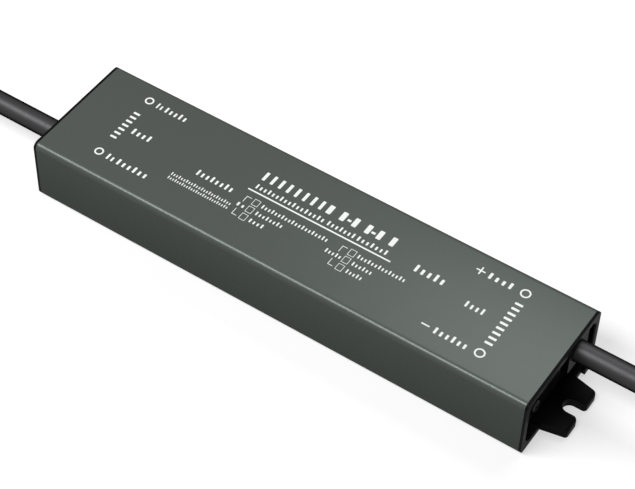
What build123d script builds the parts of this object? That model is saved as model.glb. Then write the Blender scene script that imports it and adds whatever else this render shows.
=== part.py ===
"""Slim waterproof LED driver: aluminium tube, moulded end caps, two leads and the circuit."""
import os
from math import pi, radians, tan

from build123d import *

os.makedirs("parts", exist_ok=True)

# Case: a drawn aluminium tube, lying along X with its underside on Z = 0
overall_length = 184.0
case_width = 41.0
case_height = 22.0
case_wall = 1.3
case_corner = 2.0
cavity_corner = 0.6

# End cap: lip against the tube's end, plug inside it, recessed outer face
lip = 0.8
rim_width = 2.3
rim_edge = 0.4
recess_depth = 3.0
recess_corner = 3.2
floor_thickness = 2.0
plug_depth = 9.0
plug_gap = 0.1
skirt_wall = 1.3
pocket_corner = 0.8

# Mounting lug with an open slot for an M4 screw
lug_reach = 7.7
lug_thickness = 3.0
lug_root_width = 19.8
lug_tip_width = 16.6
lug_corner = 1.1
lug_tip_round = 1.4
slot_width = 4.8
slot_depth = 6.0
slot_mouth_corner = 1.2

# Small stop block beside the lug, on the lead's side of the cap
stop_reach = 1.1
stop_width = 4.5
stop_inset = 2.1

# Leads: jacket, cores and the pad and sleeve of the cap that hold them
cord_diameter = 6.8
cord_side = 8.5
cord_drop = 5.8
jacket_reach_in = 5.0
bore_gap = 0.05
pad_margin = 2.0
pad_corner = 1.4
sleeve_wall = 1.75
tie_thickness = 0.8
tie_width = 2.4
tie_head_width = 4.0
tie_head_height = 2.6
tie_gap = 0.1
mains_core_diameter = 2.2
low_voltage_core_diameter = 2.5
mains_core_pitch = 1.3
low_voltage_core_pitch = 1.5
bare_diameter = 1.2
bare_length = 6.5

# Places along the case and up it that the leads start from
case_end = overall_length / 2 - lug_reach - lip
plug_end_x = case_end - plug_depth
jacket_end = plug_end_x - jacket_reach_in
cord_height = case_height - cord_drop

# Routes of the leads, from inside the case out to the end of the jacket
output_route = [
    (jacket_end, cord_side, cord_height),
    (122.0, cord_side, cord_height),
    (175.0, -3.0, 3.5),
    (208.0, -3.0, 3.5),
]
input_route = [
    (-jacket_end, -cord_side, cord_height),
    (-125.5, -cord_side, cord_height),
    (-180.0, 1.5, 3.5),
    (-208.0, 1.5, 3.5),
]

# Routes of the stripped cores, from the end of each jacket to the end of the insulation
output_core_routes = {
    "red": [(208.0, -1.5, 3.5), (212.5, -1.5, 3.5), (219.5, 0.6, 1.8), (226.5, 4.6, 1.4)],
    "black": [(208.0, -4.5, 3.5), (212.0, -4.5, 3.5), (219.0, -5.6, 1.7), (226.0, -8.4, 1.35)],
}
input_core_routes = {
    "brown": [(-208.0, 0.2, 2.9), (-212.0, 0.2, 2.9), (-219.0, -1.4, 1.5), (-226.5, -4.6, 1.25)],
    "blue": [(-208.0, 2.8, 2.9), (-212.5, 2.8, 2.9), (-219.0, 5.2, 1.4), (-225.5, 8.8, 1.25)],
    "earth": [(-208.0, 1.5, 4.8), (-213.0, 1.5, 4.8), (-220.0, 1.8, 1.9), (-227.0, 2.4, 1.3)],
}

# Cap screws and the brackets they pull on
screw_spacing = 16.7
screw_diameter = 2.2
screw_length = 4.8
screw_head_diameter = 3.9
screw_head_height = 1.2
screw_head_edge = 0.45
screw_hole_gap = 0.15
screw_tip_gap = 0.4
counterbore_gap = 0.5
counterbore_depth = 0.5
cross_length = 2.2
cross_width = 0.5
cross_depth = 0.6
bracket_thickness = 1.2
bracket_width = 23.0
bracket_height = 7.2
bracket_foot = 11.0
bracket_bend = 1.0
rivet_diameter = 2.4
rivet_head_diameter = 4.0
rivet_head_height = 0.8
rivet_inset = 3.5

# Circuit board and the insulating film under it
board_thickness = 1.6
board_side_gap = 1.7
board_lift = 3.3
board_end_gap = 0.4
board_corner = 1.0
film = 0.3
film_end_gap = 1.0
film_top_gap = 1.9

# Room that tall parts leave under the roof of the case
can_headroom = 2.0
bobbin_headroom = 2.1
choke_headroom = 0.7
bridge_headroom = 1.1

# Input filter parts, each by its distance from the board's input end and its place across it
fuse_size = (8.4, 4.2, 7.6)
fuse_place = (15.7, 10.5)
varistor_diameter = 10.0
varistor_thickness = 4.2
varistor_place = (27.7, -10.0)
thermistor_diameter = 8.0
thermistor_thickness = 3.6
thermistor_place = (34.1, -10.0)
disc_lead_diameter = 0.7
disc_lead_pitch = 5.0
disc_standoff = 1.5
disc_edge = 0.9
x_capacitor_base = (17.5, 8.0)
x_capacitor_place = (31.1, 10.0)
block_corner = 0.8
choke_place = (42.7, -8.0)
choke_ring_depth = 2.1
choke_core_width = 5.0
choke_wire_layer = 0.9
choke_winding_turn = 140.0
choke_base_size = (8.0, 12.0, 1.6)
coil_gap = 0.05
bridge_base = (3.6, 15.0)
bridge_place = (46.7, 9.3)
bridge_chamfer = 2.5
bridge_lead_size = (0.7, 1.2, 2.4)
bridge_lead_pitch = 3.8
bulk_end_distance = 51.1
bulk_gap = 0.7
bulk_transformer_gap = 1.0
can_groove = 0.5
can_groove_place = 3.0
can_edge = 0.6

# Power stage parts, by their distance from the board's output end and their place across it
transformer_distance = 61.0
core_length = 30.0
core_span = 30.0
core_flange_step = 3.6
core_back = 4.6
core_outer_leg = 3.6
core_centre_leg = 11.0
bobbin_wall = 1.0
bobbin_flange = 1.2
bobbin_gap = 0.15
winding_inset = 0.5
pin_diameter = 0.9
pin_pitch = 4.6
pin_count = 5
pin_rail_height = 1.8
pin_rail_width = 2.4
pin_height = 2.0
winding_corner = 1.6
transistor_size = (6.6, 9.0, 2.3)
transistor_place = (80.3, -9.0)
rectifier_size = (10.0, 10.0, 2.4)
rectifier_place = (38.7, 1.0)
power_tab_length = 1.5
power_tab_thickness = 0.5
power_tab_share = 0.8
power_corner = 0.4
pad_overhang = 1.0
control_chip_size = (5.0, 4.0, 1.6)
control_chip_place = (88.0, 9.0)
optocoupler_size = (4.6, 6.6, 3.6)
chip_corner = 0.3
optocoupler_place = (40.4, -12.4)
y_capacitor_diameter = 8.0
y_capacitor_thickness = 3.8
y_capacitor_place = (40.7, 11.6)
snubber_diameter = 2.4
snubber_length = 6.4
snubber_edge = 0.4
snubber_gap = 0.6
chip_size = (1.6, 3.2, 0.6)
chip_pitch = 4.4
chip_place = (27.7, 0.0)
chip_count = 6

# Output filter parts, placed in the same way
output_capacitor_diameter = 10.0
output_capacitor_spacing = 11.4
output_capacitor_distance = 30.1
inductor_place = (18.3, -8.4)
inductor_diameter = 12.0
inductor_height = 9.0
inductor_flange = 1.4
inductor_waist = 6.0
inductor_winding_inset = 0.4

# Distance from the board's end to where each inner wire meets it
input_pads = {"brown": 19.2, "blue": 19.2, "earth": 22.7}
output_pads = {"red": 17.2, "black": 17.2}

# Places and sizes that follow from the ones above
face_x = case_end + lip
tip_x = face_x + lug_reach
floor_x = face_x - recess_depth
inner_x = floor_x - floor_thickness
cavity_width = case_width - 2 * case_wall
cavity_height = case_height - 2 * case_wall
cord_radius = cord_diameter / 2
bore_radius = cord_radius + bore_gap
pad_size = cord_diameter + 2 * pad_margin
screw_height = (lug_thickness + cord_height - pad_size / 2) / 2
board_bottom = case_wall + board_lift
board_top = board_bottom + board_thickness
bracket_inner_x = inner_x - bracket_thickness
board_end = bracket_inner_x - board_end_gap
board_width = cavity_width - 2 * board_side_gap
roof = case_height - case_wall
stack_height = roof - board_top
can_size = stack_height - can_headroom
bobbin_height = stack_height - bobbin_headroom
core_thickness = bobbin_height - core_flange_step
transformer_x = board_end - transformer_distance
bulk_end_x = bulk_end_distance - board_end
bulk_spacing = can_size + bulk_gap

pieces = {}


def keep(piece, label):
    """Label a finished piece, write it and remember it by name."""
    piece.part.label = label
    export_step(piece.part, f"parts/{label}.step")
    pieces[label] = piece.part


def keep_turned(piece, label):
    """Keep a copy of a right-hand piece turned half round for the left-hand end."""
    with BuildPart() as turned:
        add(piece.part.rotate(Axis.Z, 180))
    keep(turned, label)


def case_section(width, height, corner):
    """A rounded rectangle on the case's axis, drawn across it."""
    with Locations((0, case_height / 2)):
        RectangleRounded(width, height, corner)


def make_case():
    """The drawn tube, open at both ends."""
    with BuildPart() as case:
        with BuildSketch(Plane.YZ):
            case_section(case_width, case_height, case_corner)
            with Locations((0, case_height / 2)):
                RectangleRounded(cavity_width, cavity_height, cavity_corner, mode=Mode.SUBTRACT)
        extrude(amount=case_end, both=True)
    keep(case, "case")


def lug_half_width(x):
    """Half the lug's width where it crosses the plane at x."""
    taper = (lug_root_width - lug_tip_width) / 2 / (tip_x - face_x)
    return lug_root_width / 2 - taper * (x - face_x)


def lug_outline():
    """Plan view of the tapered lug with its open, round-ended slot."""
    slot_centre = tip_x - slot_depth + slot_width / 2
    root = lug_half_width(floor_x)
    tip = lug_half_width(tip_x)
    with BuildSketch(Plane.XY) as outline:
        with BuildLine():
            Polyline((floor_x, -root), (tip_x, -tip), (tip_x, tip), (floor_x, root), close=True)
        make_face()
        with Locations((slot_centre, 0)):
            Circle(slot_width / 2, mode=Mode.SUBTRACT)
            Rectangle(slot_depth, slot_width, align=(Align.MIN, Align.CENTER), mode=Mode.SUBTRACT)
        corners = outline.vertices().group_by(Axis.X)[-1].sort_by(Axis.Y)
        fillet(corners[1:3], slot_mouth_corner)
        corners = outline.vertices().filter_by(lambda v: abs(abs(v.Y) - tip) < 0.01)
        fillet(corners, lug_corner)
    return outline.sketch


def skirt_pocket():
    """The hollow inside the plug, less a sleeve round the lead."""
    with BuildSketch(Plane.YZ.offset(plug_end_x)) as pocket:
        case_section(
            cavity_width - 2 * plug_gap - 2 * skirt_wall,
            cavity_height - 2 * plug_gap - 2 * skirt_wall,
            pocket_corner,
        )
        with Locations((cord_side, cord_height)):
            Circle(bore_radius + sleeve_wall, mode=Mode.SUBTRACT)
    return pocket.sketch


def make_cap():
    """The right-hand end cap: lip, plug, recessed face, lead pad, lug and stop in one moulding."""
    outline = lug_outline()
    pocket = skirt_pocket()
    with BuildPart() as cap:
        with BuildSketch(Plane.YZ.offset(case_end)):
            case_section(case_width, case_height, case_corner)
        extrude(amount=lip)
        with BuildSketch(Plane.YZ.offset(case_end)):
            case_section(cavity_width - 2 * plug_gap, cavity_height - 2 * plug_gap, cavity_corner)
        extrude(amount=-plug_depth)
        with BuildSketch(Plane.YZ.offset(face_x)):
            case_section(case_width - 2 * rim_width, case_height - 2 * rim_width, recess_corner)
        extrude(amount=-recess_depth, mode=Mode.SUBTRACT)
        chamfer(cap.faces().sort_by(Axis.X)[-1].inner_wires()[0].edges(), rim_edge)
        extrude(pocket, amount=inner_x - plug_end_x, mode=Mode.SUBTRACT)
        with BuildSketch(Plane.YZ.offset(floor_x)):
            with Locations((cord_side, cord_height)):
                RectangleRounded(pad_size, pad_size, pad_corner)
            with Locations((0, case_height / 2)):
                Rectangle(case_width, cavity_height - 2 * plug_gap, mode=Mode.INTERSECT)
        extrude(amount=recess_depth)
        with BuildSketch(Plane.YZ.offset(plug_end_x)):
            with Locations((cord_side, cord_height)):
                Circle(bore_radius)
        extrude(amount=face_x - plug_end_x, mode=Mode.SUBTRACT)
        extrude(outline, amount=lug_thickness)
        with BuildSketch(Plane.XY):
            Rectangle(case_end, case_width, align=(Align.MIN, Align.CENTER))
        extrude(amount=case_wall + plug_gap, mode=Mode.SUBTRACT)
        with BuildSketch(Plane.XZ):
            with Locations((tip_x, lug_thickness)):
                Rectangle(lug_tip_round, lug_tip_round, align=(Align.MAX, Align.MAX))
            with Locations((tip_x - lug_tip_round, lug_thickness - lug_tip_round)):
                Circle(lug_tip_round, mode=Mode.SUBTRACT)
        extrude(amount=lug_root_width, both=True, mode=Mode.SUBTRACT)
        with BuildSketch(Plane.YZ.offset(face_x)):
            with Locations((case_width / 2 - stop_inset, 0)):
                Rectangle(stop_width, rim_width, align=(Align.MAX, Align.MIN))
        extrude(amount=stop_reach)
        with Locations(Plane.YZ.offset(floor_x)):
            with Locations((-screw_spacing / 2, screw_height), (screw_spacing / 2, screw_height)):
                CounterBoreHole(
                    radius=screw_diameter / 2 + screw_hole_gap,
                    counter_bore_radius=screw_head_diameter / 2 + counterbore_gap,
                    counter_bore_depth=counterbore_depth,
                    depth=floor_thickness,
                )
    keep(cap, "output_cap")
    keep_turned(cap, "input_cap")


def make_cap_screws():
    """Pan head screws, two to a cap, with a cross recess in each head."""
    head_x = floor_x - counterbore_depth
    with BuildPart() as screws:
        with BuildSketch(Plane.YZ.offset(head_x)):
            with Locations((-screw_spacing / 2, screw_height), (screw_spacing / 2, screw_height)):
                Circle(screw_head_diameter / 2)
        extrude(amount=screw_head_height)
        chamfer(screws.edges().filter_by(GeomType.CIRCLE).group_by(Axis.X)[-1], screw_head_edge)
        with BuildSketch(Plane.YZ.offset(head_x)):
            with Locations((-screw_spacing / 2, screw_height), (screw_spacing / 2, screw_height)):
                Circle(screw_diameter / 2)
        extrude(amount=-screw_length)
        with BuildSketch(Plane.YZ.offset(head_x + screw_head_height)):
            with Locations((-screw_spacing / 2, screw_height), (screw_spacing / 2, screw_height)):
                Rectangle(cross_length, cross_width)
                Rectangle(cross_width, cross_length)
        extrude(amount=-cross_depth, mode=Mode.SUBTRACT)
    keep(screws, "output_cap_screws")
    keep_turned(screws, "input_cap_screws")


def make_bracket():
    """A bent angle that the cap screws draw up to the cap and that carries the board's end."""
    foot_start = board_end - bracket_foot
    bracket_floor = board_bottom - bracket_thickness
    with BuildPart() as bracket:
        with BuildSketch(Plane.XZ):
            with BuildLine():
                Polyline(
                    (foot_start, bracket_floor),
                    (inner_x, bracket_floor),
                    (inner_x, bracket_floor + bracket_height),
                    (bracket_inner_x, bracket_floor + bracket_height),
                    (bracket_inner_x, board_bottom),
                    (foot_start, board_bottom),
                    close=True,
                )
            make_face()
        extrude(amount=bracket_width / 2, both=True)
        fillet(bracket.edges().filter_by(Axis.Y).sort_by(Axis.Z)[:2].sort_by(Axis.X)[-1], bracket_bend)
        with Locations(Plane.YZ.offset(inner_x)):
            with Locations((-screw_spacing / 2, screw_height), (screw_spacing / 2, screw_height)):
                Hole(screw_diameter / 2, depth=bracket_thickness)
        with Locations((0, 0, board_bottom)):
            with Locations((rivet_x(), -screw_spacing / 2), (rivet_x(), screw_spacing / 2)):
                Hole(rivet_diameter / 2, depth=bracket_thickness)
    keep(bracket, "output_board_bracket")
    keep_turned(bracket, "input_board_bracket")


def rivet_x():
    """Distance of the board's rivets from the middle of the case."""
    return board_end - bracket_foot + rivet_inset


def make_rivets():
    """Tubular rivets that hold the board to its brackets, two at each end."""
    spots = [(sx * rivet_x(), sy * screw_spacing / 2) for sx in (-1, 1) for sy in (-1, 1)]
    bracket_floor = board_bottom - bracket_thickness
    with BuildPart() as rivets:
        with BuildSketch(Plane.XY.offset(board_top)):
            with Locations(*spots):
                Circle(rivet_head_diameter / 2)
        extrude(amount=rivet_head_height)
        with BuildSketch(Plane.XY.offset(bracket_floor)):
            with Locations(*spots):
                Circle(rivet_diameter / 2)
        extrude(amount=board_top - bracket_floor)
        with BuildSketch(Plane.XY.offset(bracket_floor)):
            with Locations(*spots):
                Circle(rivet_head_diameter / 2)
        extrude(amount=-rivet_head_height)
    keep(rivets, "board_rivets")


def bend_radii(route):
    """One radius for each corner of a route: as large as its two runs allow."""
    points = [Vector(*p) for p in route]
    radii = []
    for before, corner, after in zip(points, points[1:], points[2:]):
        turn = (corner - before).get_angle(after - corner)
        shorter = min((corner - before).length, (after - corner).length)
        radii.append(0.45 * shorter / tan(radians(turn / 2)))
    return radii


def make_round_run(route, radius, label):
    """A round solid along a route of straight runs joined by tangent arcs."""
    radii = bend_radii(route)
    with BuildLine() as path:
        FilletPolyline(*route, radius=radii)
    spine = path.wire()
    with BuildPart() as run:
        with BuildSketch(Plane(origin=spine @ 0, z_dir=spine % 0)):
            Circle(radius)
        sweep(path=spine)
    keep(run, label)
    ratio = run.part.volume / (spine.length * pi * radius**2)
    shown = ", ".join(f"{r:.0f}" for r in radii)
    print(f"{label}: length {spine.length:.1f}, bend radii {shown}, volume ratio {ratio:.4f}")


def make_cords():
    """The two jacketed leads."""
    make_round_run(output_route, cord_radius, "output_cord")
    make_round_run(input_route, cord_radius, "input_cord")


def make_bare_ends(core_routes, label):
    """Tinned conductor ends that stand out of the stripped cores."""
    with BuildPart() as ends:
        for route in core_routes.values():
            last = Vector(*route[-1])
            with BuildSketch(Plane(origin=last, z_dir=last - Vector(*route[-2]))):
                Circle(bare_diameter / 2)
            extrude(amount=bare_length)
    keep(ends, label)


def make_cores():
    """Insulated cores beyond the end of each jacket, and their bare ends."""
    for colour, route in output_core_routes.items():
        make_round_run(route, low_voltage_core_diameter / 2, f"output_core_{colour}")
    for colour, route in input_core_routes.items():
        make_round_run(route, mains_core_diameter / 2, f"input_core_{colour}")
    make_bare_ends(output_core_routes, "output_bare_ends")
    make_bare_ends(input_core_routes, "input_bare_ends")


def make_inner_wire(label, start, pad_x, radius):
    """One core from the end of its jacket, straight inward and then down to the board."""
    corner = (pad_x, start[1], start[2])
    foot = (pad_x, start[1], board_top)
    make_round_run([start, corner, foot], radius, label)


def make_inner_wires():
    """The cores inside the case, from the end of each jacket down to the board."""
    offsets = {"red": low_voltage_core_pitch, "black": -low_voltage_core_pitch}
    for colour, distance in output_pads.items():
        start = (jacket_end, cord_side + offsets[colour], cord_height)
        pad_x = board_end - distance
        make_inner_wire(f"output_wire_{colour}", start, pad_x, low_voltage_core_diameter / 2)
    offsets = {
        "brown": (-mains_core_pitch, -mains_core_pitch / 2),
        "blue": (mains_core_pitch, -mains_core_pitch / 2),
        "earth": (0, mains_core_pitch),
    }
    for colour, distance in input_pads.items():
        shift = offsets[colour]
        start = (-jacket_end, -cord_side + shift[0], cord_height + shift[1])
        pad_x = distance - board_end
        make_inner_wire(f"input_wire_{colour}", start, pad_x, mains_core_diameter / 2)


def make_cord_tie():
    """A tie drawn tight round the jacket behind the cap's sleeve, so that the lead can't pull out."""
    with BuildPart() as tie:
        with BuildSketch(Plane.YZ.offset(plug_end_x - tie_gap)):
            with Locations((cord_side, cord_height)):
                Circle(cord_radius + tie_thickness)
            with Locations((cord_side, cord_height - cord_radius)):
                Rectangle(tie_head_width, tie_head_height, align=(Align.CENTER, Align.MAX))
            with Locations((cord_side, cord_height)):
                Circle(cord_radius, mode=Mode.SUBTRACT)
        extrude(amount=-tie_width)
    keep(tie, "output_cord_tie")
    keep_turned(tie, "input_cord_tie")


def make_board():
    """The circuit board, drilled for its rivets and notched for the tips of the cap screws."""
    notch_depth = board_end - (floor_x - counterbore_depth - screw_length) + screw_tip_gap
    spots = [(sx * rivet_x(), sy * screw_spacing / 2) for sx in (-1, 1) for sy in (-1, 1)]
    with BuildPart() as board:
        with BuildSketch(Plane.XY.offset(board_bottom)):
            RectangleRounded(2 * board_end, board_width, board_corner)
            with Locations(*spots):
                Circle(rivet_diameter / 2, mode=Mode.SUBTRACT)
            with GridLocations(2 * board_end, screw_spacing, 2, 2):
                Rectangle(2 * notch_depth, screw_diameter + 2 * screw_tip_gap, mode=Mode.SUBTRACT)
        extrude(amount=board_thickness)
    keep(board, "circuit_board")


def make_film():
    """A folded trough of insulating film between the circuit and the tube."""
    with BuildPart() as trough:
        with BuildSketch(Plane.YZ):
            case_section(cavity_width, cavity_height, cavity_corner)
            with Locations((0, case_height / 2)):
                RectangleRounded(
                    cavity_width - 2 * film,
                    cavity_height - 2 * film,
                    cavity_corner - film,
                    mode=Mode.SUBTRACT,
                )
            with Locations((0, roof - film_top_gap)):
                Rectangle(case_width, case_height, align=(Align.CENTER, Align.MIN), mode=Mode.SUBTRACT)
        extrude(amount=plug_end_x - film_end_gap, both=True)
    keep(trough, "insulating_film")


def from_input(place):
    """A place on the board, given by its distance from the input end."""
    return (place[0] - board_end, place[1])


def from_output(place):
    """A place on the board, given by its distance from the output end."""
    return (board_end - place[0], place[1])


def make_block(label, size, place, corner):
    """A rectangular part standing on the board, with its upright edges rounded."""
    with BuildPart() as block:
        with BuildSketch(Plane.XY.offset(board_top)):
            with Locations(place):
                RectangleRounded(size[0], size[1], corner)
        extrude(amount=size[2])
        chamfer(block.faces().sort_by(Axis.Z)[-1].edges(), corner / 2)
    keep(block, label)


def make_disc(label, diameter, thickness, place):
    """A dipped disc on two leads, standing across the board."""
    centre_z = board_top + disc_standoff + diameter / 2
    with BuildPart() as disc:
        with BuildSketch(Plane.YZ.offset(place[0] - thickness / 2)):
            with Locations((place[1], centre_z)):
                Circle(diameter / 2)
        extrude(amount=thickness)
        chamfer(disc.edges().filter_by(GeomType.CIRCLE), disc_edge)
        with BuildSketch(Plane.XY.offset(board_top)):
            with Locations(place):
                with GridLocations(0, disc_lead_pitch, 1, 2):
                    Circle(disc_lead_diameter / 2)
        extrude(amount=disc_standoff + diameter / 4)
    keep(disc, label)


def make_choke():
    """Common mode choke: a ring core on edge, two windings and the base it stands in."""
    base_top = board_top + choke_base_size[2]
    outer_radius = (roof - choke_headroom - base_top) / 2 - choke_wire_layer
    inner_radius = outer_radius - choke_ring_depth
    axis_z = base_top + outer_radius + choke_wire_layer
    centre = from_input(choke_place)
    place = (centre[1], axis_z)
    with BuildPart() as ring:
        with BuildSketch(Plane.YZ.offset(centre[0])):
            with Locations(place):
                Circle(outer_radius)
                Circle(inner_radius, mode=Mode.SUBTRACT)
        extrude(amount=choke_core_width / 2, both=True)
    keep(ring, "choke_core")
    axis = Axis((centre[0], centre[1], axis_z), (1, 0, 0))
    middle = (outer_radius + inner_radius) / 2
    section = (choke_core_width + 2 * coil_gap, choke_ring_depth + 2 * coil_gap)
    for name, start in (("front", 90), ("back", -90)):
        with BuildPart() as winding:
            with BuildSketch(Plane.XZ.offset(-centre[1])):
                with Locations((centre[0], axis_z + middle)):
                    grow = 2 * choke_wire_layer
                    Rectangle(section[0] + grow, section[1] + grow)
                    Rectangle(*section, mode=Mode.SUBTRACT)
            revolve(axis=axis, revolution_arc=choke_winding_turn)
            lean = start - choke_winding_turn / 2
        with BuildPart() as placed:
            add(winding.part.rotate(axis, lean))
        keep(placed, f"choke_winding_{name}")
    with BuildPart() as base:
        with BuildSketch(Plane.XY.offset(board_top)):
            with Locations(centre):
                RectangleRounded(choke_base_size[0], choke_base_size[1], board_corner)
        extrude(amount=choke_base_size[2] + choke_wire_layer)
        cradle_radius = outer_radius + coil_gap + choke_wire_layer
        with BuildSketch(Plane.YZ.offset(centre[0])):
            with Locations(place):
                Circle(cradle_radius)
        extrude(amount=choke_base_size[0], both=True, mode=Mode.SUBTRACT)
    keep(base, "choke_base")


def make_bridge():
    """Bridge rectifier: a flat body with one cut corner, on four leads."""
    centre = from_input(bridge_place)
    standoff = bridge_lead_size[2]
    with BuildPart() as bridge:
        with BuildSketch(Plane.XY.offset(board_top + standoff)):
            with Locations(centre):
                Rectangle(*bridge_base)
        extrude(amount=stack_height - standoff - bridge_headroom)
        upper = bridge.edges().filter_by(Axis.X).group_by(Axis.Z)[-1]
        chamfer(upper.sort_by(Axis.Y)[-1], bridge_chamfer)
        with BuildSketch(Plane.XY.offset(board_top)):
            with Locations(centre):
                with GridLocations(0, bridge_lead_pitch, 1, 4):
                    Rectangle(bridge_lead_size[0], bridge_lead_size[1])
        extrude(amount=standoff)
    keep(bridge, "bridge_rectifier")


def can_profile(plane, radius, length):
    """Half the section of an electrolytic can: crimped near its seal, bevelled at the top."""
    with BuildSketch(plane) as profile:
        with BuildLine():
            Polyline(
                (0, 0),
                (radius, 0),
                (radius, can_groove_place - can_groove),
                (radius - can_groove, can_groove_place),
                (radius, can_groove_place + can_groove),
                (radius, length - can_edge),
                (radius - can_edge, length),
                (0, length),
                close=True,
            )
        make_face()
    return profile.sketch


def make_bulk_capacitors():
    """High voltage electrolytic cans lying side by side along the board."""
    length = transformer_start() - bulk_transformer_gap - bulk_end_x
    for name, side in (("front", -1), ("back", 1)):
        seat = (bulk_end_x, side * bulk_spacing / 2, board_top + can_size / 2)
        profile = can_profile(Plane(seat, x_dir=(0, 1, 0), z_dir=(0, 0, -1)), can_size / 2, length)
        with BuildPart() as can:
            revolve(profile, axis=Axis(seat, (1, 0, 0)))
        keep(can, f"bulk_capacitor_{name}")


def make_output_capacitors():
    """Low voltage electrolytic cans standing in a row across the board."""
    names = ("front", "middle", "back")
    radius = output_capacitor_diameter / 2
    for index, name in enumerate(names):
        side = (index - (len(names) - 1) / 2) * output_capacitor_spacing
        seat = (board_end - output_capacitor_distance, side, board_top)
        profile = can_profile(Plane(seat, x_dir=(1, 0, 0), z_dir=(0, -1, 0)), radius, can_size)
        with BuildPart() as can:
            revolve(profile, axis=Axis(seat, (0, 0, 1)))
        keep(can, f"output_capacitor_{name}")


def transformer_start():
    """Where the transformer's pin rail ends, on the side of the input."""
    return transformer_x - core_length / 2 - bobbin_gap - pin_rail_width


def core_half(side):
    """One E-shaped half of the transformer core, its legs meeting the other half's."""
    start = transformer_x + side * core_length / 2
    middle_z = board_top + bobbin_height / 2
    with BuildPart() as half:
        with BuildSketch(Plane.XY.offset(middle_z - core_thickness / 2)):
            with Locations((transformer_x + side * core_length / 4, 0)):
                Rectangle(core_length / 2, core_span)
            window = core_span - 2 * core_outer_leg
            with Locations((start - side * core_back - side * core_length / 4, 0)):
                Rectangle(core_length / 2, window, mode=Mode.SUBTRACT)
            with Locations((start - side * core_length / 4, 0)):
                Rectangle(core_length / 2, core_centre_leg)
        extrude(amount=core_thickness)
    return half


def make_transformer():
    """Transformer lying flat: two core halves, the bobbin on the centre leg and its winding."""
    keep(core_half(-1), "transformer_core_left")
    keep(core_half(1), "transformer_core_right")
    middle_z = board_top + bobbin_height / 2
    tube = (core_centre_leg + 2 * bobbin_gap, core_thickness + 2 * bobbin_gap)
    flange = (core_span - 2 * core_outer_leg - 2 * bobbin_gap, bobbin_height)
    reach = core_length / 2 - core_back - bobbin_gap
    rail_x = core_length / 2 + bobbin_gap + pin_rail_width / 2
    with BuildPart() as bobbin:
        with BuildSketch(Plane.YZ.offset(transformer_x - reach)):
            with Locations((0, middle_z)):
                Rectangle(tube[0] + 2 * bobbin_wall, tube[1] + 2 * bobbin_wall)
        extrude(amount=2 * reach)
        for start in (transformer_x - reach, transformer_x + reach - bobbin_flange):
            with BuildSketch(Plane.YZ.offset(start)):
                with Locations((0, middle_z)):
                    Rectangle(flange[0], flange[1])
            extrude(amount=bobbin_flange)
        with BuildSketch(Plane.XY.offset(board_top)):
            for side in (-1, 1):
                inner = reach - bobbin_flange
                outer = rail_x + pin_rail_width / 2
                with Locations((transformer_x + side * (inner + outer) / 2, 0)):
                    Rectangle(outer - inner, flange[0])
        extrude(amount=pin_rail_height)
        with BuildSketch(Plane.YZ.offset(transformer_x - reach)):
            with Locations((0, middle_z)):
                Rectangle(*tube)
        extrude(amount=2 * reach, mode=Mode.SUBTRACT)
        with BuildSketch(Plane.XY.offset(board_top + pin_rail_height)):
            for side in (-1, 1):
                with Locations((transformer_x + side * rail_x, 0)):
                    with GridLocations(0, pin_pitch, 1, pin_count):
                        Circle(pin_diameter / 2)
        extrude(amount=pin_height)
    keep(bobbin, "transformer_bobbin")
    with BuildPart() as winding:
        with BuildSketch(Plane.YZ.offset(transformer_x - reach + bobbin_flange)):
            with Locations((0, middle_z)):
                RectangleRounded(flange[0] - 2 * winding_inset, flange[1] - 2 * winding_inset, winding_corner)
                Rectangle(tube[0] + 2 * bobbin_wall, tube[1] + 2 * bobbin_wall, mode=Mode.SUBTRACT)
        extrude(amount=2 * (reach - bobbin_flange))
    keep(winding, "transformer_winding")


def make_inductor():
    """Output inductor: a spool-shaped core standing on the board, wound between its flanges."""
    radius = inductor_diameter / 2
    waist = inductor_waist / 2
    upper = inductor_height - inductor_flange
    centre = (*from_output(inductor_place), board_top)
    seat = Plane(centre, x_dir=(1, 0, 0), z_dir=(0, -1, 0))
    axis = Axis(centre, (0, 0, 1))
    with BuildSketch(seat) as spool:
        with BuildLine():
            Polyline(
                (0, 0),
                (radius, 0),
                (radius, inductor_flange),
                (waist, inductor_flange),
                (waist, upper),
                (radius, upper),
                (radius, inductor_height),
                (0, inductor_height),
                close=True,
            )
        make_face()
    with BuildPart() as core:
        revolve(spool.sketch, axis=axis)
    keep(core, "inductor_core")
    with BuildSketch(seat) as coil:
        with Locations((waist, inductor_flange)):
            width = radius - inductor_winding_inset - waist
            Rectangle(width, upper - inductor_flange, align=(Align.MIN, Align.MIN))
    with BuildPart() as winding:
        revolve(coil.sketch, axis=axis)
    keep(winding, "inductor_winding")


def make_power_device(label, size, place):
    """A flat power device under the board, with its cooling tab, and the pad that seats it."""
    with BuildPart() as device:
        with BuildSketch(Plane.XY.offset(board_bottom)):
            with Locations(place):
                RectangleRounded(size[0], size[1], power_corner)
        extrude(amount=-size[2])
        with BuildSketch(Plane.XY.offset(board_bottom)):
            with Locations((place[0], place[1] + size[1] / 2)):
                Rectangle(size[0] * power_tab_share, power_tab_length, align=(Align.CENTER, Align.MIN))
        extrude(amount=-power_tab_thickness)
    keep(device, label)
    with BuildPart() as pad:
        with BuildSketch(Plane.XY.offset(case_wall + film)):
            with Locations(place):
                Rectangle(size[0] + pad_overhang, size[1] + pad_overhang)
        extrude(amount=board_lift - film - size[2])
    keep(pad, f"{label}_pad")


def make_transformer_pad():
    """Gap pad between the transformer's core and the roof of the tube."""
    core_top = board_top + (bobbin_height + core_thickness) / 2
    with BuildPart() as pad:
        with BuildSketch(Plane.XY.offset(core_top)):
            with Locations(*[(transformer_x + side * (core_length - core_back) / 2, 0) for side in (-1, 1)]):
                Rectangle(core_back - 2 * bobbin_gap, core_span)
        extrude(amount=roof - core_top)
    keep(pad, "transformer_pads")


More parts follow.
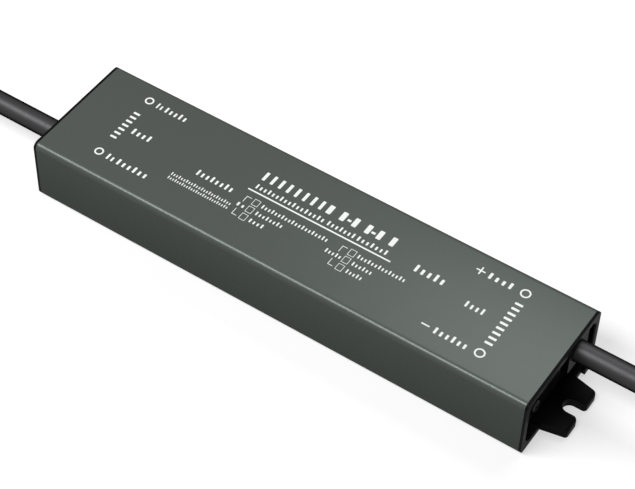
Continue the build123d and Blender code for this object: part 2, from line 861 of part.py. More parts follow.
def make_under_board(label, size, place, pitch=0.0, count=1):
    """Flat parts on the board's underside, in a row along it."""
    with BuildPart() as chips:
        with BuildSketch(Plane.XY.offset(board_bottom)):
            with Locations(place):
                with GridLocations(pitch, 0, count, 1):
                    Rectangle(size[0], size[1])
        extrude(amount=-size[2])
    keep(chips, label)


def make_snubber():
    """Snubber resistor lying along the back bulk capacitor."""
    side = (bulk_spacing + can_size + snubber_diameter) / 2 + snubber_gap
    middle_x = (bulk_end_x + transformer_start()) / 2
    with BuildPart() as snubber:
        with BuildSketch(Plane.YZ.offset(middle_x - snubber_length / 2)):
            with Locations((side, board_top + snubber_diameter / 2)):
                Circle(snubber_diameter / 2)
        extrude(amount=snubber_length)
        chamfer(snubber.edges().filter_by(GeomType.CIRCLE), snubber_edge)
    keep(snubber, "snubber_resistor")


def make_potting():
    """Soft compound poured round the circuit, filling the case from plug to plug.

    It leaves plain boxes for the pieces with many small faces and follows the others closely.
    """
    intricate = (
        "board_rivets",
        "bridge",
        "chip_resistors",
        "choke",
        "input_wire",
        "output_wire",
        "snubber",
        "thermistor",
        "transformer",
        "varistor",
        "y_capacitor",
    )
    with BuildPart() as potting:
        with BuildSketch(Plane.YZ):
            case_section(cavity_width, cavity_height, cavity_corner)
        extrude(amount=plug_end_x, both=True)
        for label, part in pieces.items():
            if label.startswith(intricate):
                for solid in part.solids():
                    room = solid.bounding_box()
                    with Locations(room.center()):
                        Box(*room.size, mode=Mode.SUBTRACT)
            elif label != "case":
                add(part, mode=Mode.SUBTRACT)
    keep(potting, "potting_compound")


make_case()
make_cap()
make_cap_screws()
make_bracket()
make_rivets()
make_cords()
make_cores()
make_inner_wires()
make_cord_tie()
make_board()
make_film()
make_block("fuse", fuse_size, from_input(fuse_place), block_corner)
make_block("x_capacitor", (*x_capacitor_base, can_size), from_input(x_capacitor_place), block_corner)
make_block("optocoupler", optocoupler_size, from_output(optocoupler_place), chip_corner)
make_disc("varistor", varistor_diameter, varistor_thickness, from_input(varistor_place))
make_disc("thermistor", thermistor_diameter, thermistor_thickness, from_input(thermistor_place))
make_disc("y_capacitor", y_capacitor_diameter, y_capacitor_thickness, from_output(y_capacitor_place))
make_choke()
make_bridge()
make_bulk_capacitors()
make_transformer()
make_transformer_pad()
make_power_device("switching_transistor", transistor_size, from_output(transistor_place))
make_power_device("output_rectifier", rectifier_size, from_output(rectifier_place))
make_under_board("control_chip", control_chip_size, from_output(control_chip_place))
make_under_board("chip_resistors", chip_size, from_input(chip_place), chip_pitch, chip_count)
make_snubber()
make_output_capacitors()
make_inductor()
make_potting()
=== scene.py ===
"""Finishes, print, leads and studio of a slim sealed LED driver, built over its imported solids."""

import logging
import math
from dataclasses import dataclass, field
from enum import Enum
from typing import Any, Sequence

import bmesh
import bpy
from mathutils import Euler, Matrix, Vector


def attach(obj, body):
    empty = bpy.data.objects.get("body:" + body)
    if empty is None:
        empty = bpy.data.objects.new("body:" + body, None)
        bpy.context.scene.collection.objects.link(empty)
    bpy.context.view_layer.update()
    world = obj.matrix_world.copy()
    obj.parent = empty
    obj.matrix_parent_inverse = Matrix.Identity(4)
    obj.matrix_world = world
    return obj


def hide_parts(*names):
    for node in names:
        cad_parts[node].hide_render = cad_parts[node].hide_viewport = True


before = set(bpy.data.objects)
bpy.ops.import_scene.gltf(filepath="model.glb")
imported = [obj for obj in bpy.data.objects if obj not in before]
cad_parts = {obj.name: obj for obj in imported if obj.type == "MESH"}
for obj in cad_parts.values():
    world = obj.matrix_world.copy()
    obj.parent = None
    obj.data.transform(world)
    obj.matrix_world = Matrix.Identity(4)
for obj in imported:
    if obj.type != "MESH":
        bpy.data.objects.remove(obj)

logging.basicConfig(level=logging.INFO, format="%(message)s")
log = logging.getLogger("led_driver")

MM = 0.001
Point = tuple[float, float, float]
Colour = tuple[float, float, float]
Line = tuple[float, float, float, float]  # a line of print: start, stop, level and height
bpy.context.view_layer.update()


class End(Enum):
    """The two ends of the driver, with the direction that each points along X."""

    OUTPUT = 1
    INPUT = -1

    @property
    def label(self) -> str:
        """The end's name as the nodes write it."""
        return self.name.lower()


def tone(red: float, green: float, blue: float) -> Colour:
    """A screen colour as the shader's linear one.

    Args:
        red: Red from 0 to 255.
        green: Green from 0 to 255.
        blue: Blue from 0 to 255.

    Returns:
        The linear red, green and blue from 0 to 1.
    """

    def linear(level: float) -> float:
        """One channel from 0 to 255 made linear."""
        share = level / 255
        return share / 12.92 if share <= 0.04045 else ((share + 0.055) / 1.055) ** 2.4

    return linear(red), linear(green), linear(blue)


def shade(colour: Colour, factor: float) -> tuple[float, float, float, float]:
    """A colour made lighter or darker, with an alpha of 1."""
    red, green, blue = (min(1.0, level * factor) for level in colour)
    return red, green, blue, 1.0


class NodeSheet:
    """A material's node tree, with a short call that adds a node and links it."""

    def __init__(self, name: str) -> None:
        """Starts a material.

        Args:
            name: The material's name.
        """
        self.material = bpy.data.materials.new(name)
        self.material.use_nodes = True
        self.tree = self.material.node_tree
        self.shader = self.tree.nodes["Principled BSDF"]
        self.place = self.add("ShaderNodeTexCoord").outputs["Object"]

    def add(self, kind: str, inputs: dict[Any, Any] | None = None, **settings: Any) -> bpy.types.Node:
        """Adds a node.

        Args:
            kind: The node's type.
            inputs: Each input's name or number, with a value or the socket that feeds it.
            **settings: The node's own settings.

        Returns:
            The new node.
        """
        node = self.tree.nodes.new(kind)
        for key, value in settings.items():
            setattr(node, key, value)
        for key, value in (inputs or {}).items():
            self.feed(node.inputs[key], value)
        return node

    def feed(self, socket: bpy.types.NodeSocket, value: Any) -> None:
        """Links a socket to another, or sets its value."""
        if isinstance(value, bpy.types.NodeSocket):
            self.tree.links.new(value, socket)
        else:
            socket.default_value = value

    def noise(self, size: float, detail: float = 2.0, warp: float = 0.0) -> bpy.types.NodeSocket:
        """Noise on the piece's own coordinates.

        Args:
            size: The size of its blotches, in millimetres.
            detail: How many finer layers it has.
            warp: How much it is distorted.

        Returns:
            The socket that gives the noise's value.
        """
        values = {"Vector": self.place, "Scale": 1 / (size * MM), "Detail": detail, "Distortion": warp}
        return self.add("ShaderNodeTexNoise", values).outputs[0]

    def ranged(
        self, source: Any, low: float, high: float, start: float = 0.3, stop: float = 0.7
    ) -> bpy.types.NodeSocket:
        """Maps a value from one range to another and holds it there.

        Args:
            source: The socket to read.
            low: The value given at start.
            high: The value given at stop.
            start: Where the source's range starts.
            stop: Where the source's range stops.

        Returns:
            The mapped value's socket.
        """
        values = {"Value": source, "From Min": start, "From Max": stop, "To Min": low, "To Max": high}
        return self.add("ShaderNodeMapRange", values).outputs[0]

    def blend(self, factor: Any, first: Any, second: Any) -> bpy.types.NodeSocket:
        """Mixes two colours by a factor."""
        node = self.add("ShaderNodeMix", data_type="RGBA")
        self.feed(node.inputs[0], factor)
        self.feed(node.inputs[6], first)
        self.feed(node.inputs[7], second)
        return node.outputs[2]

    def raised(self, height: Any, strength: float, depth: float, under: Any = None) -> bpy.types.NodeSocket:
        """Bumps the surface.

        Args:
            height: The socket that gives the height.
            strength: How much of the bump shows.
            depth: The bump's depth, in millimetres.
            under: The normal that it is added to.

        Returns:
            The bumped normal's socket.
        """
        node = self.add("ShaderNodeBump", {"Height": height, "Strength": strength, "Distance": depth * MM})
        if under is not None:
            self.feed(node.inputs["Normal"], under)
        return node.outputs[0]


@dataclass(frozen=True)
class Finish:
    """A surface with grain and with a colour that drifts a little from place to place."""

    name: str
    colour: Colour
    roughness: float = 0.5
    metallic: float = 0.0
    specular: float = 0.5
    grazing: float = 1.0
    coat: float = 0.0
    grain: float = 0.3
    relief: float = 0.15
    drift: float = 0.06
    patch: float = 9.0
    grain_depth: float = 0.25
    roughness_spread: float = 0.05

    def material(self) -> bpy.types.Material:
        """Makes the material the first time, and gives the same one afterwards.

        Returns:
            The material.
        """
        made = bpy.data.materials.get(self.name)
        if made:
            return made
        sheet = NodeSheet(self.name)
        self.paint(sheet)
        return sheet.material

    def paint(self, sheet: NodeSheet) -> None:
        """Fills the node tree.

        Args:
            sheet: The material's node tree.
        """
        fine = sheet.noise(self.grain)
        broad = sheet.noise(self.patch, detail=3.0)
        shader = sheet.shader.inputs
        shader["Metallic"].default_value = self.metallic
        shader["Specular IOR Level"].default_value = self.specular
        shader["Specular Tint"].default_value = (self.grazing, self.grazing, self.grazing, 1.0)
        shader["Coat Weight"].default_value = self.coat
        colour = sheet.blend(broad, shade(self.colour, 1 - self.drift), shade(self.colour, 1 + self.drift))
        sheet.feed(shader["Base Color"], self.coloured(sheet, colour))
        spread = self.roughness_spread
        sheet.feed(shader["Roughness"], sheet.ranged(fine, self.roughness - spread, self.roughness + spread))
        depth = self.grain * self.grain_depth
        sheet.feed(shader["Normal"], sheet.raised(fine, self.relief, depth, under=self.waves(sheet)))

    def waves(self, sheet: NodeSheet) -> bpy.types.NodeSocket | None:
        """Gives the softer bump that lies under the grain, which here is none."""
        return None

    def coloured(self, sheet: NodeSheet, colour: bpy.types.NodeSocket) -> bpy.types.NodeSocket:
        """Gives the pattern that lies over the plain colour, which here is none."""
        return colour

    def plain(self) -> "Finish":
        """Gives the finish for a solid that has no UV map, which here is the same one."""
        return self


@dataclass(frozen=True)
class PowderCoat(Finish):
    """Satin paint on metal, with a faint orange peel and a few fine specks."""

    speck: Colour = (0.3, 0.3, 0.3)
    speck_size: float = 1.1
    speck_patch: float = 5.0
    wave: float = 1.6
    wave_relief: float = 0.05
    wave_depth: float = 0.12

    def waves(self, sheet: NodeSheet) -> bpy.types.NodeSocket:
        """Gives the soft waves of sprayed paint."""
        return sheet.raised(sheet.noise(self.wave, detail=1.0), self.wave_relief, self.wave_depth)

    def coloured(self, sheet: NodeSheet, colour: bpy.types.NodeSocket) -> bpy.types.NodeSocket:
        """Lays a few fine specks over the paint."""
        cells = sheet.add("ShaderNodeTexVoronoi", {"Vector": sheet.place, "Scale": 1 / (self.speck_size * MM)})
        dots = sheet.ranged(cells.outputs["Distance"], 0.22, 0.0, start=0.05, stop=0.13)
        rare = sheet.ranged(sheet.noise(self.speck_patch), 0.0, 1.0, start=0.56, stop=0.66)
        share = sheet.add("ShaderNodeMath", {0: dots, 1: rare}, operation="MULTIPLY").outputs[0]
        return sheet.blend(share, colour, shade(self.speck, 1.0))


@dataclass(frozen=True)
class StripedInsulation(Finish):
    """Insulation with a stripe of a second colour along it, on the piece's own UV map."""

    stripe: Colour = (0.6, 0.5, 0.02)
    stripe_share: float = 0.3
    stripe_edge: float = 0.01

    def coloured(self, sheet: NodeSheet, colour: bpy.types.NodeSocket) -> bpy.types.NodeSocket:
        """Lays the stripe over the insulation's colour."""
        around = sheet.add("ShaderNodeSeparateXYZ", {0: sheet.add("ShaderNodeTexCoord").outputs["UV"]}).outputs[0]
        offset = sheet.add("ShaderNodeMath", {0: around, 1: 0.5}, operation="SUBTRACT").outputs[0]
        away = sheet.add("ShaderNodeMath", {0: offset}, operation="ABSOLUTE").outputs[0]
        edge = self.stripe_share / 2
        share = sheet.ranged(away, 1.0, 0.0, start=edge - self.stripe_edge, stop=edge + self.stripe_edge)
        return sheet.blend(share, colour, shade(self.stripe, 1.0))

    def plain(self) -> Finish:
        """Gives the insulation without its stripe, for a solid that has no UV map."""
        return Finish(f"{self.name}_base", self.colour, self.roughness, grain=self.grain, relief=self.relief)


CASE_PAINT = PowderCoat(
    "satin_green_grey_paint",
    tone(80, 85, 82),
    0.31,
    metallic=0.4,
    specular=0.03,
    grazing=0.0,
    grain=0.22,
    relief=0.06,
    drift=0.02,
    patch=30.0,
    speck=tone(120, 124, 120),
)
CAP_PLASTIC = Finish("black_cap_plastic", tone(11, 11, 12), 0.45, specular=0.03, grain=0.25, relief=0.12, drift=0.1)
JACKET = Finish(
    "black_lead_jacket", tone(61, 61, 62), 0.48, metallic=0.9, specular=0.0, grazing=0.0, grain=0.35, relief=0.06
)
PRINT_INK = Finish("white_print_ink", tone(232, 235, 233), 0.55, specular=0.3, grain=0.18, relief=0.10, drift=0.04)
SCREW_STEEL = Finish("black_screw_steel", tone(42, 42, 45), 0.38, metallic=0.8, specular=0.1, grain=0.2, relief=0.1)
CORE_RED = Finish("red_insulation", tone(176, 30, 26), 0.36, grain=0.3, relief=0.06)
CORE_BLACK = Finish("black_insulation", tone(24, 24, 25), 0.36, grain=0.3, relief=0.06)
CORE_BROWN = Finish("brown_insulation", tone(104, 62, 34), 0.36, grain=0.3, relief=0.06)
CORE_BLUE = Finish("blue_insulation", tone(34, 92, 168), 0.36, grain=0.3, relief=0.06)
CORE_EARTH = StripedInsulation(
    "green_yellow_insulation", tone(52, 132, 48), 0.36, grain=0.3, relief=0.06, stripe=tone(214, 196, 40)
)
TINNED = Finish("tinned_strands", tone(196, 196, 190), 0.3, metallic=1.0, grain=0.15, relief=0.2)
NYLON = Finish("black_nylon_tie", tone(30, 30, 31), 0.45, grain=0.3)
ZINC = Finish("zinc_plated_sheet", tone(178, 180, 184), 0.32, metallic=1.0, grain=1.2, relief=0.05, patch=2.5)
RIVET_BRASS = Finish("rivet_brass", tone(190, 160, 90), 0.3, metallic=1.0, grain=0.3)
BOARD_MASK = Finish("green_board_mask", tone(34, 96, 58), 0.35, coat=0.3, grain=0.5, drift=0.15, patch=3.0)
FILM = Finish("yellowish_film", tone(196, 186, 150), 0.25, grain=0.8, relief=0.05)
EPOXY = Finish("black_moulded_epoxy", tone(32, 32, 34), 0.55, grain=0.12, relief=0.3)
YELLOW_BOX = Finish("yellow_capacitor_box", tone(206, 168, 52), 0.4, grain=0.3)
BLUE_DIP = Finish("blue_dipped_disc", tone(40, 92, 150), 0.3, grain=0.8, relief=0.3)
GREEN_DIP = Finish("dark_green_dipped_disc", tone(42, 76, 50), 0.35, grain=0.8, relief=0.3)
FERRITE = Finish("sintered_ferrite", tone(48, 48, 50), 0.6, grain=0.15, relief=0.35, drift=0.15)
COPPER_WIRE = Finish("enamelled_copper", tone(176, 92, 44), 0.3, metallic=0.8, grain=0.5, relief=0.5)
CAN = Finish("capacitor_can", tone(60, 62, 74), 0.35, grain=0.5, relief=0.05)
TAPE = Finish("yellow_winding_tape", tone(198, 170, 60), 0.35, grain=0.6)
GAP_PAD = Finish("grey_gap_pad", tone(140, 148, 156), 0.7, grain=0.25, relief=0.3)
CHIP = Finish("dark_chip_ceramic", tone(54, 54, 56), 0.5, grain=0.1)
SILICONE = Finish("grey_potting_silicone", tone(70, 72, 72), 0.5, grain=0.9, relief=0.1, drift=0.12)


def dress(piece: bpy.types.Object, finish: Finish) -> None:
    """Gives a piece its surface, in the place of any that it has."""
    piece.data.materials.clear()
    piece.data.materials.append(finish.material())


def stand_for(node: str, finish: Finish) -> None:
    """Puts a piece in the place of a solid, which is dressed too.

    Args:
        node: The solid's node.
        finish: The surface that the solid gets.
    """
    dress(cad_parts[node], finish)
    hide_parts(node)


def ride_root(piece: bpy.types.Object, finish: Finish) -> bpy.types.Object:
    """Dresses a piece, lets it ride on the driver's one body and names its slot in the record.

    Args:
        piece: The piece.
        finish: Its surface.

    Returns:
        The same piece.
    """
    dress(piece, finish)
    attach(piece, "root")
    log.info("%s: %s", piece.name, finish.name)
    return piece


def mesh_piece(shape: bmesh.types.BMesh, name: str, crease: float = 35.0) -> bpy.types.Object:
    """Makes an object of a finished bmesh, smooth apart from its sharp edges.

    Args:
        shape: The bmesh, in metres in the driver's frame. It is freed.
        name: The object's name.
        crease: Edges that turn by more than this many degrees stay sharp.

    Returns:
        The new object.
    """
    mesh = bpy.data.meshes.new(name)
    shape.to_mesh(mesh)
    shape.free()
    mesh.shade_smooth()
    mesh.set_sharp_from_angle(angle=math.radians(crease))
    piece = bpy.data.objects.new(name, mesh)
    bpy.context.scene.collection.objects.link(piece)
    return piece


def soften(piece: bpy.types.Object, width: float, segments: int = 3, turn: float = 40.0) -> None:
    """Rounds a piece's sharp edges with a modifier.

    Args:
        piece: The piece.
        width: The rounding's width, in millimetres.
        segments: How many faces go round each edge.
        turn: Edges that turn by more than this many degrees are rounded.
    """
    bevel = piece.modifiers.new("rounded_edges", "BEVEL")
    bevel.width = width * MM
    bevel.segments = segments
    bevel.limit_method = "ANGLE"
    bevel.angle_limit = math.radians(turn)
    bevel.harden_normals = True


def merged_copy(node: str, reach: float = 0.002, flat: float = 0.5) -> bmesh.types.BMesh:
    """A copy of a solid's mesh with its loose triangles joined and its flat faces made whole.

    Args:
        node: The solid's node.
        reach: How far apart two points are that become one, in millimetres.
        flat: How many degrees two faces may turn and still become one.

    Returns:
        The copy, as a bmesh.
    """
    shape = bmesh.new()
    shape.from_mesh(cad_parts[node].data)
    bmesh.ops.remove_doubles(shape, verts=shape.verts, dist=reach * MM)
    bmesh.ops.dissolve_limit(
        shape,
        angle_limit=math.radians(flat),
        use_dissolve_boundaries=False,
        verts=shape.verts,
        edges=shape.edges,
        delimit={"NORMAL"},
    )
    return shape


@dataclass
class CaseShell:
    """The painted tube, with its long edges rounded and its cut ends broken."""

    half_length: float = 83.5
    width: float = 41.0
    height: float = 22.0
    wall: float = 1.3
    outer_corner: float = 2.0
    inner_corner: float = 0.6
    corner_segments: int = 8
    end_break: tuple[tuple[float, float], ...] = ((0.035, 0.085), (0.085, 0.035))
    crease: float = 15.0

    def box(self, shape: bmesh.types.BMesh, width: float, height: float, corner: float) -> list[bmesh.types.BMEdge]:
        """Adds an open box with rounded long edges.

        Args:
            shape: The bmesh that it is added to.
            width: Its width across.
            height: Its height.
            corner: The radius of its long edges.

        Returns:
            The edges round its two open ends.
        """
        place = Matrix.Translation((0, 0, self.height / 2 * MM))
        reach = self.half_length - sum(rise for _, rise in self.end_break)
        size = Matrix.Diagonal((2 * reach * MM, width * MM, height * MM, 1))
        verts = bmesh.ops.create_cube(shape, size=1.0, matrix=place @ size)["verts"]
        edges = {edge for vert in verts for edge in vert.link_edges}
        long_edges = [edge for edge in edges if abs((edge.verts[0].co - edge.verts[1].co).x) > MM]
        made = bmesh.ops.bevel(
            shape,
            geom=long_edges,
            offset=corner * MM,
            segments=self.corner_segments,
            profile=0.5,
            affect="EDGES",
            material=-1,
        )
        faces = {face for vert in made["verts"] for face in vert.link_faces}
        ends = [face for face in faces if abs(face.normal.x) > 0.9]
        rims = [edge for face in ends for edge in face.edges]
        bmesh.ops.delete(shape, geom=ends, context="FACES_ONLY")
        return rims

    def break_rim(
        self, shape: bmesh.types.BMesh, rim: list[bmesh.types.BMEdge], width: float, height: float, grow: int
    ) -> list[bmesh.types.BMEdge]:
        """Breaks one rim of a cut end in a few small steps.

        Args:
            shape: The bmesh.
            rim: The rim's edges.
            width: The rim's width across.
            height: The rim's height.
            grow: 1 for the cavity's rim, which widens, and -1 for the outer one.

        Returns:
            The edges round the last step.
        """
        side = math.copysign(1, rim[0].verts[0].co.x)
        centre = Matrix.Translation((0, 0, -self.height / 2 * MM))
        for inset, rise in self.end_break:
            grown = bmesh.ops.extrude_edge_only(shape, edges=rim)["geom"]
            verts = {part for part in grown if isinstance(part, bmesh.types.BMVert)}
            factor = (1, 1 + grow * 2 * inset / width, 1 + grow * 2 * inset / height)
            bmesh.ops.scale(shape, verts=list(verts), vec=factor, space=centre)
            bmesh.ops.translate(shape, verts=list(verts), vec=(side * rise * MM, 0, 0))
            rim = [part for part in grown if isinstance(part, bmesh.types.BMEdge) and verts.issuperset(part.verts)]
        return rim

    def build(self) -> bpy.types.Object:
        """Makes the tube, which stands for the plain solid.

        Returns:
            The tube.
        """
        shape = bmesh.new()
        hollow = (self.width - 2 * self.wall, self.height - 2 * self.wall)
        outer = self.box(shape, self.width, self.height, self.outer_corner)
        inner = self.box(shape, *hollow, self.inner_corner)
        for side in (1, -1):
            outer_rim = [edge for edge in outer if edge.verts[0].co.x * side > 0]
            inner_rim = [edge for edge in inner if edge.verts[0].co.x * side > 0]
            last = self.break_rim(shape, outer_rim, self.width, self.height, -1)
            last += self.break_rim(shape, inner_rim, *hollow, 1)
            bmesh.ops.triangle_fill(shape, use_beauty=True, use_dissolve=False, edges=last, normal=(side, 0, 0))
        bmesh.ops.recalc_face_normals(shape, faces=shape.faces)
        piece = mesh_piece(shape, "case_tube", crease=self.crease)
        stand_for("case", CASE_PAINT)
        return ride_root(piece, CASE_PAINT)


@dataclass
class TopPrint:
    """White print on the top of the case: rings, polarity marks, a rule, boxes and rows of blocks."""

    surface: float = 22.004
    thickness: float = 0.03
    rings: tuple[Point, ...] = (
        (-66.9, 13.5, 1.45),
        (-66.5, -11.6, 1.45),
        (64.1, 13.2, 1.62),
        (64.3, -12.0, 1.62),
    )
    ring_stroke: float = 0.5
    ring_segments: int = 48
    mark_stroke: float = 0.45
    plus_place: tuple[float, float] = (49.6, 13.3)
    minus_place: tuple[float, float] = (47.0, -12.1)
    plus_size: float = 2.9
    minus_size: float = 2.6
    rule: Line = (-22.0, 26.9, 1.43, 0.5)
    title_rows: tuple[Line, ...] = (
        (-20.9, -0.2, 8.15, 3.5),
        (1.4, 7.6, 8.15, 3.5),
        (10.2, 16.1, 8.15, 3.5),
        (18.5, 24.4, 8.15, 3.5),
    )
    title_dashes: tuple[tuple[float, float], ...] = ((9.0, 1.2), (17.2, 1.3))
    dash_drop: float = 0.4
    dash_height: float = 0.8
    rows: tuple[Line, ...] = (
        (-20.5, -4.3, 3.6, 1.8),
        (-3.4, 2.9, 3.6, 1.8),
        (4.4, 13.4, 3.6, 1.8),
        (14.6, 24.4, 3.6, 1.8),
        (-63.8, -61.9, 13.35, 2.2),
        (-60.6, -53.2, 13.35, 2.2),
        (-63.4, -57.0, 0.7, 2.3),
        (-63.3, -61.0, -11.7, 2.3),
        (-59.5, -49.1, -11.7, 2.3),
        (-37.8, -25.4, -1.75, 2.2),
        (-43.7, -22.7, -6.5, 1.2),
        (-43.7, -22.6, -8.2, 1.1),
        (33.9, 43.3, 3.75, 2.7),
        (52.4, 59.8, 13.2, 2.3),
        (52.2, 58.0, 0.75, 2.2),
        (50.0, 60.2, -12.2, 2.3),
        (-21.2, -18.9, -5.1, 1.4),
        (-14.6, 7.9, -2.05, 1.5),
        (-14.6, -5.6, -5.15, 1.5),
        (-14.6, -10.0, -8.4, 1.5),
        (9.5, 14.5, -5.2, 1.5),
        (18.4, 33.9, -2.05, 1.5),
        (18.5, 24.8, -5.15, 1.5),
        (18.6, 23.6, -8.4, 1.5),
    )
    columns: tuple[tuple[float, float, float, float], ...] = (
        (-66.7, -4.9, 7.3, 2.2),
        (64.6, -8.2, 9.1, 2.5),
    )
    block_pitch: float = 0.74
    block_share: float = 0.4
    title_share: float = 0.35
    low_block: float = 0.74
    full_every: int = 3
    block_corner: float = 0.2
    corner_segments: int = 6
    box_size: tuple[float, float] = (2.1, 2.5)
    box_stroke: float = 0.22
    box_columns: tuple[float, ...] = (-16.8, 16.35)
    box_levels: tuple[float, ...] = (-2.0, -5.15, -8.4)
    hook_reach: float = 3.7
    hook_arm: float = 1.7
    hook_rise: float = 2.3
    hook_stroke: float = 0.2
    hook_level: float = 0.3
    shape: bmesh.types.BMesh = field(default_factory=bmesh.new)

    def ring(self, x: float, y: float, radius: float) -> None:
        """Adds a ring.

        Args:
            x: Its centre along the case.
            y: Its centre across the case.
            radius: Its outer radius.
        """
        place = Matrix.Translation((x * MM, y * MM, self.surface * MM))
        made = bmesh.ops.create_circle(
            self.shape, cap_ends=True, segments=self.ring_segments, radius=radius * MM, matrix=place
        )
        disc = [face for vert in made["verts"] for face in vert.link_faces][:1]
        bmesh.ops.inset_region(self.shape, faces=disc, thickness=self.ring_stroke * MM, use_boundary=True)
        bmesh.ops.delete(self.shape, geom=disc, context="FACES_ONLY")

    def bar(self, x: float, y: float, length: float, height: float, corner: float = 0.0) -> bmesh.types.BMFace:
        """Adds a bar.

        Args:
            x: Its centre along the case.
            y: Its centre across the case.
            length: Its size along the case.
            height: Its size across the case.
            corner: The radius of its corners.

        Returns:
            Its face.
        """
        place = Matrix.Translation((x * MM, y * MM, self.surface * MM))
        size = Matrix.Diagonal((length * MM, height * MM, 1, 1))
        made = bmesh.ops.create_grid(self.shape, x_segments=1, y_segments=1, size=0.5, matrix=place @ size)
        face = made["verts"][0].link_faces[0]
        if corner:
            bmesh.ops.bevel(
                self.shape,
                geom=made["verts"],
                offset=corner * MM,
                segments=self.corner_segments,
                profile=0.5,
                affect="VERTICES",
                material=-1,
            )
        return face

    def frame_box(self, x: float, y: float) -> None:
        """Adds a small open box.

        Args:
            x: Its centre along the case.
            y: Its centre across the case.
        """
        face = self.bar(x, y, *self.box_size)
        bmesh.ops.inset_region(self.shape, faces=[face], thickness=self.box_stroke * MM, use_boundary=True)
        bmesh.ops.delete(self.shape, geom=[face], context="FACES_ONLY")

    def spaced(self, start: float, stop: float, height: float, share: float) -> tuple[list[float], float]:
        """Spaces blocks evenly over a line of print.

        Args:
            start: Where the line starts.
            stop: Where it stops.
            height: The blocks' height, which sets how many fit.
            share: How much of each step a block fills.

        Returns:
            The blocks' middles along the line, and the width that they all have.
        """
        count = max(2, round((stop - start) / (height * self.block_pitch)))
        pitch = (stop - start) / (count - 1 + share)
        width = pitch * share
        return [start + width / 2 + index * pitch for index in range(count)], width

    def title_row(self, start: float, stop: float, level: float, height: float) -> None:
        """Adds a row of tall blocks along the case.

        Args:
            start: Where the row starts.
            stop: Where it stops.
            level: Its middle across the case.
            height: The blocks' height.
        """
        middles, width = self.spaced(start, stop, height, self.title_share)
        for middle in middles:
            self.bar(middle, level, width, height, width * self.block_corner)

    def row(self, start: float, stop: float, level: float, height: float) -> None:
        """Adds a row of small blocks along the case, most of them lower than the full ones.

        Args:
            start: Where the row starts.
            stop: Where it stops.
            level: Its middle across the case.
            height: The full blocks' height.
        """
        middles, width = self.spaced(start, stop, height, self.block_share)
        for index, middle in enumerate(middles):
            tall = height * (self.low_block if index % self.full_every else 1.0)
            self.bar(middle, level - (height - tall) / 2, width, tall, width * self.block_corner)

    def column(self, level: float, start: float, stop: float, height: float) -> None:
        """Adds a row of full blocks across the case.

        Args:
            level: The row's middle along the case.
            start: Where the row starts.
            stop: Where it stops.
            height: The blocks' height.
        """
        middles, width = self.spaced(start, stop, height, self.block_share)
        for middle in middles:
            self.bar(level, middle, height, width, width * self.block_corner)

    def hook(self, column: float, level: float, toward: float) -> None:
        """Adds a right-angled line beside a box.

        Args:
            column: The box's centre along the case.
            level: The box's centre across the case.
            toward: 1 if the line's upright arm points to lower levels, and -1 if to higher ones.
        """
        corner_x = column - self.hook_reach
        edge = level + toward * self.box_size[1] * self.hook_level
        self.bar(corner_x + self.hook_arm / 2, edge, self.hook_arm, self.hook_stroke)
        upright = edge - toward * (self.hook_rise + self.hook_stroke) / 2
        self.bar(corner_x + self.hook_stroke / 2, upright, self.hook_stroke, self.hook_rise)

    def build(self) -> bpy.types.Object:
        """Lays out the print and gives it the ink's thickness.

        Returns:
            The print.
        """
        for ring in self.rings:
            self.ring(*ring)
        self.bar(*self.plus_place, self.plus_size, self.mark_stroke)
        arm = (self.plus_size - self.mark_stroke) / 2
        for side in (1, -1):
            level = self.plus_place[1] + side * (arm + self.mark_stroke) / 2
            self.bar(self.plus_place[0], level, self.mark_stroke, arm)
        self.bar(*self.minus_place, self.minus_size, self.mark_stroke)
        start, stop, level, height = self.rule
        self.bar((start + stop) / 2, level, stop - start, height)
        title_level = self.title_rows[0][2]
        for middle, length in self.title_dashes:
            self.bar(middle, title_level - self.dash_drop, length, self.dash_height)
        for row in self.title_rows:
            self.title_row(*row)
        for row in self.rows:
            self.row(*row)
        for column in self.columns:
            self.column(*column)
        for column in self.box_columns:
            for level in self.box_levels:
                self.frame_box(column, level)
            self.hook(column, self.box_levels[0], 1)
            self.hook(column, self.box_levels[-1], -1)
        made = bmesh.ops.extrude_face_region(self.shape, geom=self.shape.faces[:])
        verts = [part for part in made["geom"] if isinstance(part, bmesh.types.BMVert)]
        bmesh.ops.translate(self.shape, verts=verts, vec=(0, 0, self.thickness * MM))
        bmesh.ops.recalc_face_normals(self.shape, faces=self.shape.faces)
        return ride_root(mesh_piece(self.shape, "top_print"), PRINT_INK)


@dataclass
class EndCap:
    """One black end cap with its two screws."""

    end: End
    edge_round: float = 0.16
    screw_round: float = 0.12

    def build(self) -> None:
        """Makes the cap and its screws from their solids, with every edge rounded."""
        cap = mesh_piece(merged_copy(f"{self.end.label}_cap"), f"{self.end.label}_cap_moulding")
        soften(cap, self.edge_round)
        stand_for(f"{self.end.label}_cap", CAP_PLASTIC)
        ride_root(cap, CAP_PLASTIC)
        screws = mesh_piece(merged_copy(f"{self.end.label}_cap_screws"), f"{self.end.label}_screw_pair")
        soften(screws, self.screw_round)
        stand_for(f"{self.end.label}_cap_screws", SCREW_STEEL)
        ride_root(screws, SCREW_STEEL)


